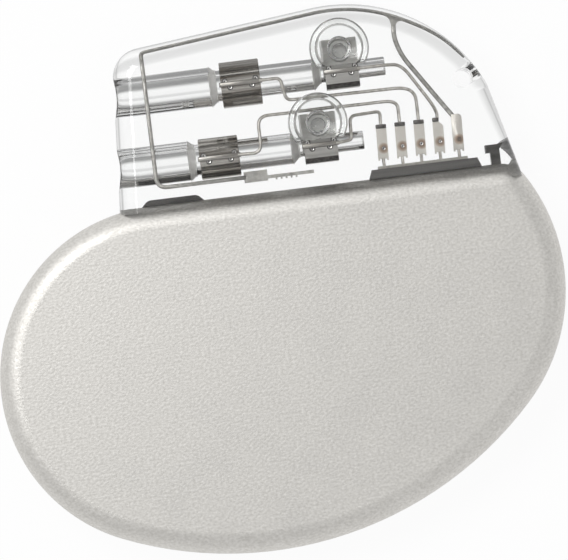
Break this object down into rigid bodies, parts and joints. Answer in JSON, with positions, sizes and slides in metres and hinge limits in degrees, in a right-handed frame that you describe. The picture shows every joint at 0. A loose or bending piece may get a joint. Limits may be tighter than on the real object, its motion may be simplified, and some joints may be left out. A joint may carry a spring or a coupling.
{
  "type": "cardiac pacemaker",
  "caption": "Flat bean-shaped implantable pulse generator: a titanium can with a clear cast header that holds stepped lead bores, contacts, wires and an antenna.",
  "frame": {"origin": "centre of the overall box on the plane of the can's rear face, on which the part lies", "axes": "+Z out of the front face, +Y from the can towards the header, +X along the lead bores, away from their mouths"},
  "size_m": [0.0502, 0.0468, 0.006],
  "materials": {
    "titanium_can": "bead blasted titanium",
    "titanium_trim": "satin titanium",
    "clear_epoxy": "polished clear casting",
    "silicone": "soft translucent",
    "contact_steel": "satin",
    "spring_alloy": "polished",
    "screw_steel": "machined",
    "bright_wire": "drawn",
    "terminal_metal": "satin, heat tinted at its welds",
    "antenna_strip": "satin strip",
    "ceramic": "glazed ceramic",
    "cell_case": "satin",
    "liner_film": "thin moulded liner",
    "laminate": "board laminate",
    "chip_package": "moulded package",
    "crystal_lid": "plated lid",
    "capacitor_body": "fired ceramic",
    "copper_winding": "enamelled copper",
    "flex_film": "polyimide film"
  },
  "bodies": {
    "root": {"can_front": "titanium_can", "can_rear": "titanium_can", "weld_band": "titanium_trim", "feedthrough_flange": "titanium_trim", "anchor_bracket_left": "titanium_trim", "anchor_bracket_right": "titanium_trim", "header_body": "clear_epoxy", "septum_upper": "silicone", "septum_lower": "silicone", "ring_block_upper": "contact_steel", "ring_block_lower": "contact_steel", "tip_block_upper": "contact_steel", "tip_block_lower": "contact_steel", "ring_contact_upper": "spring_alloy", "ring_contact_lower": "spring_alloy", "setscrew_upper": "screw_steel", "setscrew_lower": "screw_steel", "wire_ring_upper": "bright_wire", "wire_tip_upper": "bright_wire", "wire_ring_lower": "bright_wire", "wire_tip_lower": "bright_wire", "feedthrough_pins": "bright_wire", "terminal_tab_1": "terminal_metal", "terminal_tab_2": "terminal_metal", "terminal_tab_3": "terminal_metal", "terminal_tab_4": "terminal_metal", "antenna": "antenna_strip", "antenna_anchor": "antenna_strip", "feedthrough_insulator": "ceramic", "battery": "cell_case", "battery_terminals": "cell_case", "battery_straps": "cell_case", "battery_cup": "liner_film", "electronics_tray": "liner_film", "circuit_board": "laminate", "controller_chip": "chip_package", "pacing_chip": "chip_package", "memory_chip": "chip_package", "radio_chip": "chip_package", "accelerometer": "chip_package", "magnet_sensor": "chip_package", "clock_crystal": "crystal_lid", "capacitors": "capacitor_body", "storage_capacitors": "capacitor_body", "telemetry_coil": "copper_winding", "feedthrough_flex": "flex_film"}
  },
  "joints": []
}
